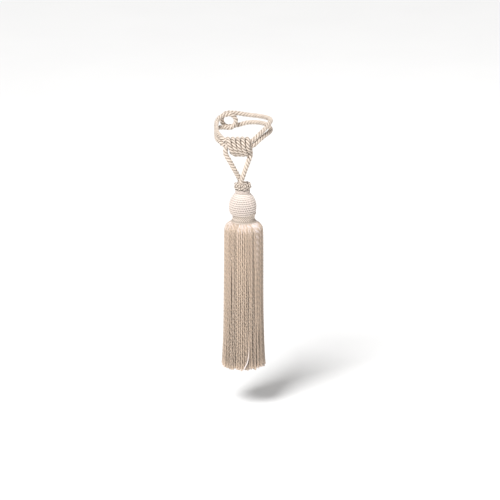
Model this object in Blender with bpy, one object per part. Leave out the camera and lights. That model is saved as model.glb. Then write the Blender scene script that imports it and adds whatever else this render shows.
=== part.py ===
"""Curtain tieback with one tassel, gathered around an absent curtain.

Two doubled arms of twisted rope leave the ends of a wound knot, pass round the space of the
curtain and hang by their eyes on one hook. Two legs of the same rope hold the tassel: a braided
ruff, a bound neck, a netted ball, a gimp collar and a long fringed skirt.

Metres, +Z up. The origin is the hook's axis where the two eyes overlap, and the wall is at +Y.
"""
import math

import bmesh
import bpy
from mathutils import Vector

MM = 0.001
GAP = 0.4 * MM                      # clear space kept between neighbouring pieces

# ---------------------------------------------------------------- driving dimensions
ROPE_R = 3.3 * MM                   # three-strand rope, 6.6 mm across where it is pulled tight
LEG_R = 3.6 * MM                    # the same rope where it hangs slack
EYE_R = 10.0 * MM                   # centre line of the bend that goes over the hook
EYE_STEP = ROPE_R + GAP             # each eye stands this far from the hook's middle, along Y

KNOT = Vector((12.8, -73.0, -17.0)) * MM    # middle of the wound knot
KNOT_LENGTH = 33.4 * MM
KNOT_R = 14.3 * MM
KNOT_TURNS = 5
KNOT_VALLEY = 1.7 * MM              # depth of the valley between two turns
KNOT_DROP = 4.2 * MM                # how far the barrel's ends round off at the top
KNOT_DROP_BELOW = 4.8 * MM          # and how much further underneath, over a longer stretch
KNOT_TAPER_BELOW = 7.5 * MM

TASSEL_Y = -73.0 * MM
HEAD_X = 19.5 * MM                  # upright axis of the ruff, the neck and the ball
SKIRT_X = 20.9 * MM                 # the collar and the skirt hang a little to the right of it
RUFF_TOP = -69.2 * MM
RUFF_HEIGHT = 8.9 * MM
RUFF_R = 11.6 * MM
RUFF_HOLE_R = 8.3 * MM
NECK_R = 10.3 * MM
NECK_HEIGHT = 5.8 * MM
BALL_R = 19.3 * MM
BALL_HALF_HEIGHT = 22.7 * MM
COLLAR_TOP_R = 17.8 * MM
COLLAR_BOTTOM_R = 16.4 * MM
COLLAR_WAIST = 1.2 * MM             # how far its middle is drawn in
COLLAR_HEIGHT = 10.8 * MM
SKIRT_LENGTH = 212.6 * MM
SKIRT_TEETH = 46
SKIRT_GROOVE = 1.1 * MM             # depth of the valley between two strands
SKIRT_RIM = 7.5 * MM                # width of the outer rows of strands, which hang lowest
SKIRT_END_R = 31.2 * MM
TOOTH_DEPTH = 7.0 * MM              # how far the gaps reach up from the strands' ends
TOOTH_UNEVEN = 1.4 * MM             # how much the strands' ends differ in height
END_RECESS = 3.0 * MM               # the inner strands end this much higher

# Derived heights down the tassel
RUFF_BOTTOM = RUFF_TOP - RUFF_HEIGHT
NECK_TOP = RUFF_BOTTOM - GAP
NECK_BOTTOM = NECK_TOP - NECK_HEIGHT
BALL_TOP = NECK_BOTTOM - GAP
BALL_Z = BALL_TOP - BALL_HALF_HEIGHT * math.sqrt(1 - (NECK_R / BALL_R) ** 2)
BALL_BOTTOM = BALL_Z - BALL_HALF_HEIGHT * math.sqrt(1 - (COLLAR_TOP_R / BALL_R) ** 2)
COLLAR_TOP = BALL_BOTTOM - GAP
COLLAR_BOTTOM = COLLAR_TOP - COLLAR_HEIGHT
SKIRT_TOP = COLLAR_BOTTOM - GAP
SKIRT_BOTTOM = SKIRT_TOP - SKIRT_LENGTH

# Routes: hand-placed points of each arm's middle line in millimetres from the hook, each with
# half the distance between its two ropes, which lie one above the other.
RIGHT_ARM = [(33.6, -72.2, -12.0, 3.5), (37.6, -70.4, -9.0, 3.5), (43.4, -67.0, -4.4, 3.6),
             (50.4, -60.4, 0.2, 4.6), (56.4, -49.0, 3.2, 6.4), (58.4, -35.0, 4.0, 6.6),
             (53.4, -19.0, 4.0, 5.2), (41.0, -6.0, 3.2, 4.8), (26.0, 1.2, 2.0, 5.8),
             (12.0, 3.4, 0.7, 8.8)]
LEFT_ARM = [(-7.4, -71.4, -10.6, 3.6), (-10.6, -67.4, -8.6, 3.8), (-13.8, -59.5, -7.6, 4.4),
            (-16.2, -47.0, -8.2, 4.7), (-17.2, -32.0, -7.2, 4.7), (-17.4, -20.0, -4.8, 4.7),
            (-15.6, -11.0, -2.6, 5.8), (-9.6, -5.0, -0.9, 8.2)]

# Legs: hand-placed points of each rope's middle line in millimetres from the knot's middle.
LEFT_LEG = [(-15.9, -1.8, -12.2), (-13.4, -2.6, -16.6), (-9.8, -2.8, -22.6), (-5.2, -1.0, -31.8),
            (0.1, 2.4, -43.0), (3.4, 3.8, -50.0), (5.6, 3.9, -56.0), (6.4, 3.9, -60.4)]
RIGHT_LEG = [(17.6, -1.6, -9.6), (17.2, -3.0, -12.6), (15.9, -4.4, -16.4), (13.2, -5.0, -24.2),
             (8.5, -4.6, -38.0), (5.6, -4.1, -46.6), (4.9, -3.9, -51.0), (5.6, -3.9, -56.0),
             (6.4, -3.9, -60.4)]

MATERIALS = {
    "rope": ((0.66, 0.57, 0.47), 0.70),
    "braid": ((0.56, 0.46, 0.36), 0.72),
    "netting": ((0.70, 0.60, 0.52), 0.75),
    "gimp": ((0.62, 0.52, 0.42), 0.70),
    "fringe": ((0.47, 0.37, 0.28), 0.50),
}


def clear_scene() -> None:
    """Remove everything a new file starts with."""
    for obj in list(bpy.data.objects):
        bpy.data.objects.remove(obj, do_unlink=True)


def material(name: str) -> bpy.types.Material:
    """Return the named yarn finish, made once."""
    found = bpy.data.materials.get(name)
    if found:
        return found
    colour, roughness = MATERIALS[name]
    made = bpy.data.materials.new(name)
    made.use_nodes = True
    shader = made.node_tree.nodes["Principled BSDF"]
    shader.inputs["Base Color"].default_value = (*colour, 1.0)
    shader.inputs["Roughness"].default_value = roughness
    shader.inputs["Metallic"].default_value = 0.0
    return made


def smooth_path(points: list[Vector], step: float) -> list[Vector]:
    """Read a Catmull-Rom curve through the points, about one point each step."""
    ends = [2 * points[0] - points[1], *points, 2 * points[-1] - points[-2]]
    path = []
    for before, start, end, after in zip(ends, ends[1:], ends[2:], ends[3:]):
        count = max(1, round((end - start).length / step))
        for i in range(count):
            t = i / count
            path.append(0.5 * (2 * start + (end - before) * t
                               + (2 * before - 5 * start + 4 * end - after) * t ** 2
                               + (3 * start - before - 3 * end + after) * t ** 3))
    path.append(points[-1].copy())
    return path


def rope(name: str, path: list[Vector], radius: float) -> bpy.types.Object:
    """Make one closed tube of rope along the path."""
    data = bpy.data.curves.new(name, "CURVE")
    data.dimensions = "3D"
    data.bevel_depth = radius
    data.bevel_resolution = 2
    data.use_fill_caps = True
    data.twist_mode = "MINIMUM"
    spline = data.splines.new("POLY")
    spline.points.add(len(path) - 1)
    for point, place in zip(spline.points, path):
        point.co = (*place, 1.0)
    spline.use_smooth = True
    obj = bpy.data.objects.new(name, data)
    bpy.context.collection.objects.link(obj)
    data.materials.append(material("rope"))
    return obj


def arm(name: str, route: list[tuple], eye_y: float, side: int) -> bpy.types.Object:
    """Make one doubled arm: out along the upper rope, round the hook, back along the lower.

    side is +1 where the eye's bend lies towards +X of the hook, and -1 towards -X.
    """
    middle = [Vector(point[:3]) * MM for point in route] + [Vector((0.0, eye_y, 0.0))]
    halves = [point[3] * MM for point in route] + [EYE_R]
    upper, lower = [], []
    for i, (place, half) in enumerate(zip(middle, halves)):
        along = middle[min(i + 1, len(middle) - 1)] - middle[max(i - 1, 0)]
        across = (Vector((0, 0, 1)) - along.normalized() * along.normalized().z).normalized()
        upper.append(place + across * half)
        lower.append(place - across * half)
    upper[-1] = Vector((0.0, eye_y, EYE_R))
    lower[-1] = Vector((0.0, eye_y, -EYE_R))
    bend = [Vector((side * EYE_R * math.sin(math.pi * i / 8), eye_y,
                    EYE_R * math.cos(math.pi * i / 8))) for i in range(1, 8)]
    step = 3.2 * ROPE_R
    return rope(name, smooth_path(upper, step) + bend + smooth_path(lower, step)[::-1], ROPE_R)


def leg(name: str, route: list[tuple]) -> bpy.types.Object:
    """Make one rope leg from its points, which are measured from the knot's middle."""
    path = smooth_path([KNOT + Vector(point) * MM for point in route], 2.8 * LEG_R)
    return rope(name, path, LEG_R)


def solid(name: str, rings: list[list[Vector]], finish: str, closed: bool = False,
          angle: float = 50.0) -> bpy.types.Object:
    """Skin rings of equal length into one closed body, capped at both ends.

    With closed set the last ring joins the first, which makes a ring-shaped body.
    """
    mesh = bmesh.new()
    loops = [[mesh.verts.new(point) for point in ring] for ring in rings]
    pairs = list(zip(loops, loops[1:])) + ([(loops[-1], loops[0])] if closed else [])
    count = len(loops[0])
    for one, two in pairs:
        for i in range(count):
            j = (i + 1) % count
            mesh.faces.new((one[i], one[j], two[j], two[i]))
    if not closed:
        mesh.faces.new(loops[0])
        mesh.faces.new(reversed(loops[-1]))
    bmesh.ops.recalc_face_normals(mesh, faces=mesh.faces)
    data = bpy.data.meshes.new(name)
    mesh.to_mesh(data)
    mesh.free()
    data.shade_smooth()
    data.set_sharp_from_angle(angle=math.radians(angle))
    data.materials.append(material(finish))
    obj = bpy.data.objects.new(name, data)
    bpy.context.collection.objects.link(obj)
    return obj


def round_ring(axis_x: float, radius: float, z: float, count: int, ripple: float = 0.0,
               waves: int = 0, phase: float = 0.0) -> list[Vector]:
    """Return one level ring about an upright axis, with an optional ripple in its radius."""
    ring = []
    for i in range(count):
        turn = 2 * math.pi * i / count
        r = radius + ripple * math.cos(waves * turn + phase)
        ring.append(Vector((axis_x + r * math.cos(turn), TASSEL_Y + r * math.sin(turn), z)))
    return ring


def wound_knot() -> bpy.types.Object:
    """Make the knot: one barrel on its side whose ridges are the turns of the rope."""
    around, per_turn = 26, 6
    steps = KNOT_TURNS * per_turn
    pitch = KNOT_LENGTH / KNOT_TURNS
    rings = []
    for i in range(steps + 1):
        x = (i / steps - 0.5) * KNOT_LENGTH
        ring = []
        for j in range(around):
            turn = 2 * math.pi * j / around
            below = max(0.0, -math.sin(turn))
            rounding = ROPE_R + KNOT_TAPER_BELOW * below
            edge = max(0.0, (abs(x) - KNOT_LENGTH / 2) / rounding + 1.0)
            ridge = abs(math.sin(math.pi * (x / pitch + turn / (2 * math.pi))))
            r = (KNOT_R - KNOT_VALLEY * (1 - ridge)
                 - (KNOT_DROP + KNOT_DROP_BELOW * below) * edge ** 2)
            ring.append(KNOT + Vector((x, r * math.cos(turn), r * math.sin(turn))))
        rings.append(ring)
    return solid("wound_knot", rings, "rope")


def ruff() -> bpy.types.Object:
    """Make the braided ruff: a ring with a hole for the two legs and a lobed outside."""
    count, lobes, lobe_height = 36, 9, 0.45 * MM
    middle_r = (RUFF_R + RUFF_HOLE_R) / 2
    half_width = (RUFF_R - RUFF_HOLE_R) / 2
    half_height = RUFF_HEIGHT / 2
    middle_z = RUFF_TOP - half_height
    rings = []
    for turn_step in range(8):
        angle = 2 * math.pi * (turn_step + 0.5) / 8
        out, up = math.cos(angle), math.sin(angle)
        r = middle_r + half_width * math.copysign(abs(out) ** 0.6, out)
        z = middle_z + half_height * up / math.sin(math.radians(67.5))
        ripple = lobe_height if out > 0 else 0.0
        phase = math.pi * (up > 0)
        rings.append(round_ring(HEAD_X, r, z, count, ripple, lobes, phase))
    return solid("braided_ruff", rings, "braid", closed=True)


def ball() -> bpy.types.Object:
    """Make the netted ball, cut flat where the neck and the collar meet it."""
    start = math.acos((BALL_TOP - BALL_Z) / BALL_HALF_HEIGHT)
    end = math.acos((BALL_BOTTOM - BALL_Z) / BALL_HALF_HEIGHT)
    rings = []
    for i in range(13):
        angle = start + (end - start) * i / 12
        rings.append(round_ring(HEAD_X, BALL_R * math.sin(angle),
                                BALL_Z + BALL_HALF_HEIGHT * math.cos(angle), 28))
    return solid("netted_ball", rings, "netting")


def banded_drum(name: str, axis_x: float, radii: tuple[float, float], waist: float, top: float,
                height: float, bands: int, bulge: float, finish: str) -> bpy.types.Object:
    """Make a short drum whose side is a stack of rounded bands.

    radii are those of its top and bottom, and waist is how far its middle is drawn in.
    """
    rings = []
    for band in range(bands):
        for part, swell in ((0.08, 0.0), (0.5, bulge), (0.92, 0.0)):
            share = (band + part) / bands
            radius = radii[0] + (radii[1] - radii[0]) * share - waist * math.sin(math.pi * share)
            rings.append(round_ring(axis_x, radius - bulge + swell, top - height * share, 32))
    rings[0] = [Vector((*point.xy, top)) for point in rings[0]]
    rings[-1] = [Vector((*point.xy, top - height)) for point in rings[-1]]
    return solid(name, rings, finish)


def skirt() -> bpy.types.Object:
    """Make the skirt: one fluted bundle of strands with a comb of ends round its rim."""
    count = 2 * SKIRT_TEETH
    # depth below the top, outer radius: round shoulder, long straight fall, slight flare
    profile = [(0.0, 15.6), (1.0, 18.4), (2.8, 21.6), (5.1, 24.2), (8.2, 26.4), (14.2, 27.4),
               (26.0, 27.6), (70.0, 27.8), (120.0, 28.2), (165.0, 28.9), (192.0, 30.1)]

    def fluted(depth: float, radius: float, groove: float) -> list[Vector]:
        return round_ring(SKIRT_X, radius - groove / 2, SKIRT_TOP - depth, count, groove / 2,
                          SKIRT_TEETH)

    def comb(radius: float) -> list[Vector]:
        ring = fluted(SKIRT_LENGTH, radius, SKIRT_GROOVE)
        for i, point in enumerate(ring):
            uneven = TOOTH_UNEVEN * abs(math.sin(2.4 * i) * math.cos(0.9 * i))
            point.z += uneven + (TOOTH_DEPTH if i % 2 else 0.0)
        return ring

    rings = [fluted(depth * MM, radius * MM, min(SKIRT_GROOVE, depth * MM * 0.25))
             for depth, radius in profile]
    inner_r = SKIRT_END_R - SKIRT_RIM
    rings += [comb(SKIRT_END_R), comb(inner_r)]
    rings.append(fluted(SKIRT_LENGTH - END_RECESS, inner_r - TOOTH_UNEVEN, 0.0))
    return solid("fringe_skirt", rings, "fringe")


def build() -> None:
    """Build every piece of the tieback and stand it under one empty at the hook."""
    clear_scene()
    pieces = [
        arm("arm_right", RIGHT_ARM, EYE_STEP, -1),
        arm("arm_left", LEFT_ARM, -EYE_STEP, 1),
        wound_knot(),
        leg("leg_left", LEFT_LEG),
        leg("leg_right", RIGHT_LEG),
        ruff(),
        banded_drum("bound_neck", HEAD_X, (NECK_R, NECK_R), 0.0, NECK_TOP, NECK_HEIGHT, 3,
                    0.4 * MM, "netting"),
        ball(),
        banded_drum("gimp_collar", SKIRT_X, (COLLAR_TOP_R, COLLAR_BOTTOM_R), COLLAR_WAIST,
                    COLLAR_TOP, COLLAR_HEIGHT, 4, 0.7 * MM, "gimp"),
        skirt(),
    ]
    hook = bpy.data.objects.new("hook", None)
    bpy.context.collection.objects.link(hook)
    for piece in pieces:
        piece.parent = hook


build()
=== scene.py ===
"""Looks of a curtain tieback: twisted rope arms, a wound knot and one long fringed tassel.

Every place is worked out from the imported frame. The hook's axis is the origin, the wall is at +Y,
and everything is in metres, in the rest pose, on the one body "root".
"""

import logging
import math
from dataclasses import dataclass, field
from enum import Enum

import bpy
import numpy as np
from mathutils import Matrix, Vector


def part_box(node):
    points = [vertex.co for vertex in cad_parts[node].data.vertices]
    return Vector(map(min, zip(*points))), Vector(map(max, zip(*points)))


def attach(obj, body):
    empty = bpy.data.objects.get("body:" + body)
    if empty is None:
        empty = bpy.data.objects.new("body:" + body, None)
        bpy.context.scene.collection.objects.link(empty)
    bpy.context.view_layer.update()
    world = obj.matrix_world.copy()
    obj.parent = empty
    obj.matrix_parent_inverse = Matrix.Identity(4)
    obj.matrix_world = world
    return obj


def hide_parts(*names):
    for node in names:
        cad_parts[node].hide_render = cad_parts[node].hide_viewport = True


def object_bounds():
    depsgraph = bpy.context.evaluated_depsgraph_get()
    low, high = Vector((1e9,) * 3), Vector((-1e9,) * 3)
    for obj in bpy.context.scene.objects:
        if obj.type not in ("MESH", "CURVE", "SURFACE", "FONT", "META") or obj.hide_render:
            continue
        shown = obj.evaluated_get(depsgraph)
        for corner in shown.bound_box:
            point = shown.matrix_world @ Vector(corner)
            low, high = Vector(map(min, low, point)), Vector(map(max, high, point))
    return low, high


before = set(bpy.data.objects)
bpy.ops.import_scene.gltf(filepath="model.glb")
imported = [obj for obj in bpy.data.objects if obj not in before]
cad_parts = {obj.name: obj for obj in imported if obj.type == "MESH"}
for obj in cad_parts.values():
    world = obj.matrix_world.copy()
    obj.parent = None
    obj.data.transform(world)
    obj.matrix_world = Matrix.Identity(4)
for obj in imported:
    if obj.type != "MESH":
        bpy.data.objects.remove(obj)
CAD_LOW, CAD_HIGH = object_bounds()

LOG = logging.getLogger("tieback")
MM = 0.001
BODY = "root"
TAU = 2.0 * math.pi

SPAN_READINGS = 24       # points read off each span of a curve before they are evened out
PAINTED_SHADE_CURVE = 1.3       # how quickly the painted shade deepens towards a strand's grooves and sides
VALLEY_SHADE = 0.45      # how much darker a strand is between two of its yarns

Colour = tuple[float, float, float]
Array = np.ndarray


# ------------------------------------------------------------------------------ shader building
class Wire:
    """One output of a shader node, with the arithmetic that is used on it."""

    def __init__(self, board: "Board", socket: bpy.types.NodeSocket) -> None:
        """Keep the socket and the board it is on."""
        self.board = board
        self.socket = socket

    def _math(self, operation: str, first: "Wire | float", second: "Wire | float") -> "Wire":
        """Return the output of a new Math node on two values."""
        return self.board.node("ShaderNodeMath", {"operation": operation}, {0: first, 1: second})

    def __add__(self, other: "Wire | float") -> "Wire":
        """Return self + other."""
        return self._math("ADD", self, other)

    def __radd__(self, other: float) -> "Wire":
        """Return other + self."""
        return self._math("ADD", other, self)

    def __sub__(self, other: "Wire | float") -> "Wire":
        """Return self - other."""
        return self._math("SUBTRACT", self, other)

    def __rsub__(self, other: float) -> "Wire":
        """Return other - self."""
        return self._math("SUBTRACT", other, self)

    def __mul__(self, other: "Wire | float") -> "Wire":
        """Return self * other."""
        return self._math("MULTIPLY", self, other)

    def __rmul__(self, other: float) -> "Wire":
        """Return other * self."""
        return self._math("MULTIPLY", other, self)

    def sine(self) -> "Wire":
        """Return the sine of the value."""
        return self._math("SINE", self, 0.0)


class Board:
    """The node tree of one material, filled through a single method."""

    def __init__(self, name: str) -> None:
        """Start a material that holds only its shader and its output.

        Args:
            name: The material's name.
        """
        self.material = bpy.data.materials.new(name)
        self.material.use_nodes = True
        self.tree = self.material.node_tree
        self.shader = self.tree.nodes["Principled BSDF"]

    def node(self, kind: str, settings: dict | None = None, sockets: dict | None = None,
             output: int | str = 0) -> Wire:
        """Add one node.

        Args:
            kind: The node's type.
            settings: Its own settings, set first; "ramp" holds the stops of a colour ramp.
            sockets: A value or a wire for each input, by name or number.
            output: The output to return.

        Returns:
            The chosen output.
        """
        made = self.tree.nodes.new(kind)
        for key, value in (settings or {}).items():
            if key == "ramp":
                self._stops(made.color_ramp, value)
            else:
                setattr(made, key, value)
        for key, value in (sockets or {}).items():
            self.feed(made.inputs[key], value)
        return Wire(self, made.outputs[output])

    @staticmethod
    def _stops(ramp: bpy.types.ColorRamp, stops: list[tuple[float, Colour]]) -> None:
        """Give a colour ramp its stops.

        Args:
            ramp: The ramp to fill.
            stops: Positions with their colours, from 0 to 1.
        """
        while len(ramp.elements) < len(stops):
            ramp.elements.new(1.0)
        for element, (place, colour) in zip(ramp.elements, stops):
            element.position = place
            element.color = (*colour, 1.0)

    def feed(self, socket: bpy.types.NodeSocket, value: "Wire | float | tuple") -> None:
        """Link a wire to a socket, or set the socket's own value.

        Args:
            socket: The input to feed.
            value: The wire or the value.
        """
        if isinstance(value, Wire):
            self.tree.links.new(value.socket, socket)
        else:
            socket.default_value = value

    def attribute(self, name: str) -> Wire:
        """Return a number that is stored on the mesh."""
        return self.node("ShaderNodeAttribute", {"attribute_name": name}, None, "Fac")

    def mix(self, factor: "Wire | float", first: "Wire | Colour", second: "Wire | Colour",
            blend: str = "MIX") -> Wire:
        """Mix two colours.

        Args:
            factor: How much of the second colour.
            first: The first colour.
            second: The second colour.
            blend: The way they are mixed.

        Returns:
            The mixed colour.
        """
        colours = [value if isinstance(value, Wire) else (*value, 1.0)
                   for value in (first, second)]
        return self.node("ShaderNodeMix", {"data_type": "RGBA", "blend_type": blend},
                         {0: factor, 6: colours[0], 7: colours[1]}, 2)


class Lustre(Enum):
    """How a yarn takes the light: its roughness and its sheen."""

    SATIN = (0.34, 0.30)
    SOFT = (0.58, 0.30)
    MATT = (0.72, 0.25)


@dataclass(frozen=True)
class YarnFinish:
    """Yarn whose colour goes from its outer face to a painted shade in the grooves and between the
    strands.
    """

    name: str
    face: Colour
    # colour of the painted shade in the grooves and between the strands
    shade: Colour
    lustre: Lustre
    fibre_lines: float = 9.0            # lines of fibre round one strand
    fibre_slant: float = 260.0          # turns of those lines in each metre of strand
    relief: float = 0.00012             # height of the fibre lines
    fleck: float = 0.16                 # how dark the lines between fibres are
    tone_span: float = 0.24             # how much lightness differs between strands
    shine: float = 0.45                 # specular level
    painted_gleam: Colour = (0.77, 0.69, 0.68)  # painted highlight: colour that the lightest strands turn to
    painted_gleam_gain: float = 0.0             # how fast the painted highlight comes in, above a tone of 1
    fuzz_scale: float = 900.0           # noise scale of the fine fuzz
    drift_scale: float = 45.0           # noise scale of the slow drift in lightness
    fuzz: float = 0.14                  # how much the fuzz changes the lightness
    drift: float = 0.16                 # how much the drift does

    def material(self) -> bpy.types.Material:
        """Return the finish's material, made once.

        Returns:
            The material, which reads the mesh's UV map, its attribute of painted shade in the
            grooves and its tone attribute.
        """
        found = bpy.data.materials.get(self.name)
        if found:
            return found
        board = Board(self.name)
        painted_groove_shade = board.attribute("painted_groove_shade")
        tone = board.attribute("tone")
        uv = board.node("ShaderNodeUVMap", {"uv_map": "strand"})
        split = board.node("ShaderNodeSeparateXYZ", None, {0: uv})
        along, around = split, Wire(board, split.socket.node.outputs[1])
        place = board.node("ShaderNodeTexCoord", None, None, "Object")
        cloud = board.node("ShaderNodeTexNoise", {"noise_dimensions": "3D"},
                           {"Vector": place, "Scale": self.fuzz_scale, "Detail": 3.0,
                            "Roughness": 0.6})
        drift = board.node("ShaderNodeTexNoise", {"noise_dimensions": "3D"},
                           {"Vector": place, "Scale": self.drift_scale, "Detail": 1.0})
        lines = ((around * self.fibre_lines + along * self.fibre_slant) * TAU).sine() * 0.5 + 0.5
        # painted shade: from the face colour down to the shade colour in the grooves and on the
        # sides
        body = board.mix(painted_groove_shade, self.shade, self.face)
        streaked = board.mix((1.0 - lines) * self.fleck, body, self.shade)
        # lightness from the tone, which on some pieces holds painted light and shade, and from
        # noise
        lit = ((tone - 0.5) * self.tone_span + 0.97 + (drift - 0.5) * self.drift
               + (cloud - 0.5) * self.fuzz)
        bright = board.node("ShaderNodeCombineXYZ", None, {0: lit, 1: lit, 2: lit})
        plain = board.mix(1.0, streaked, bright, "MULTIPLY")
        # painted highlight: strands with a tone above 1 turn towards the gleam colour
        colour = board.mix((tone - 1.0) * painted_groove_shade * self.painted_gleam_gain, plain, self.painted_gleam)
        bump = board.node("ShaderNodeBump", None,
                          {"Strength": 0.7, "Distance": self.relief, "Height": lines + cloud * 0.6})
        roughness, sheen = self.lustre.value
        shader = board.shader
        board.feed(shader.inputs["Base Color"], colour)
        board.feed(shader.inputs["Roughness"], roughness + (cloud - 0.5) * 0.2)
        board.feed(shader.inputs["Normal"], bump)
        shader.inputs["Sheen Weight"].default_value = sheen
        shader.inputs["Sheen Roughness"].default_value = 0.4
        shader.inputs["Sheen Tint"].default_value = (1.0, 0.96, 0.90, 1.0)
        shader.inputs["Specular IOR Level"].default_value = self.shine
        return board.material


ROPE_YARN = YarnFinish("rope yarn", (0.84, 0.73, 0.63), (0.12, 0.075, 0.042), Lustre.SOFT)
RUFF_YARN = YarnFinish("ruff yarn", (0.88, 0.77, 0.67), (0.09, 0.055, 0.03), Lustre.SOFT)
NET_YARN = YarnFinish("net yarn", (0.93, 0.84, 0.78), (0.34, 0.25, 0.19), Lustre.SOFT)
# dark mould, darkened further so that the net's holes show painted shade
DARK_MOULD_AND_HOLE_SHADE = YarnFinish("mould cloth", (0.16, 0.115, 0.085), (0.10, 0.07, 0.05), Lustre.MATT)
GIMP_YARN = YarnFinish("gimp yarn", (0.93, 0.81, 0.71), (0.09, 0.06, 0.035), Lustre.SOFT)
FRINGE_YARN = YarnFinish("fringe yarn", (0.54, 0.415, 0.315), (0.11, 0.07, 0.042), Lustre.SATIN,
                         tone_span=0.50, shine=0.85, painted_gleam_gain=3.4)


# ---------------------------------------------------------------------------------- path helpers
def smooth_path(points: Array, step: float) -> Array:
    """Read a Catmull-Rom curve through points, evenly spaced.

    Args:
        points: The points that the curve passes through, one in each row.
        step: The distance between two points of the result.

    Returns:
        Points about one step apart.
    """
    ends = np.vstack([2 * points[0] - points[1], points, 2 * points[-1] - points[-2]])
    t = np.linspace(0.0, 1.0, SPAN_READINGS, endpoint=False)[:, None]
    spans = []
    for before, start, end, after in zip(ends, ends[1:], ends[2:], ends[3:]):
        spans.append(0.5 * (2 * start + (end - before) * t
                            + (2 * before - 5 * start + 4 * end - after) * t ** 2
                            + (3 * start - before - 3 * end + after) * t ** 3))
    dense = np.vstack(spans + [points[-1:]])
    return even_path(dense, step)


def even_path(points: Array, step: float) -> Array:
    """Read points off a polyline at even distances.

    Args:
        points: The polyline.
        step: The distance between two points of the result.

    Returns:
        Evenly spaced points, both ends kept.
    """
    travelled = distance_along(points)
    count = max(2, round(travelled[-1] / step) + 1)
    places = np.linspace(0.0, travelled[-1], count)
    return np.column_stack([np.interp(places, travelled, points[:, i]) for i in range(3)])


def distance_along(points: Array) -> Array:
    """Return how far along a polyline each of its points is."""
    steps = np.linalg.norm(np.diff(points, axis=0), axis=1)
    return np.concatenate([[0.0], np.cumsum(steps)])


def unit(vectors: Array) -> Array:
    """Return each row at length one."""
    return vectors / np.maximum(np.linalg.norm(vectors, axis=-1, keepdims=True), 1e-12)


def square_to(along: Array, out: Array) -> Array:
    """Return the part of each outward direction that is square to the path, at length one."""
    return unit(out - along * np.sum(out * along, axis=1)[:, None])


def tangents(points: Array, closed: bool = False) -> Array:
    """Return the direction of a path at each of its points.

    Args:
        points: The path.
        closed: Whether the last point leads back to the first.

    Returns:
        One unit vector for each point.
    """
    if closed:
        return unit(np.roll(points, -1, axis=0) - np.roll(points, 1, axis=0))
    return unit(np.gradient(points, axis=0))


def steady_frame(points: Array) -> tuple[Array, Array]:
    """Carry one sideways direction along a path without turning it.

    Args:
        points: The path.

    Returns:
        Two directions across the path at each point, square to it and to each other.
    """
    along = tangents(points)
    start = np.array([0.0, 0.0, 1.0]) if abs(along[0][2]) < 0.8 else np.array([1.0, 0.0, 0.0])
    across = [unit(start - along[0] * np.dot(start, along[0]))]
    for direction in along[1:]:
        last = across[-1]
        across.append(unit(last - direction * np.dot(last, direction)))
    first = np.array(across)
    return first, np.cross(along, first)


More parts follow.
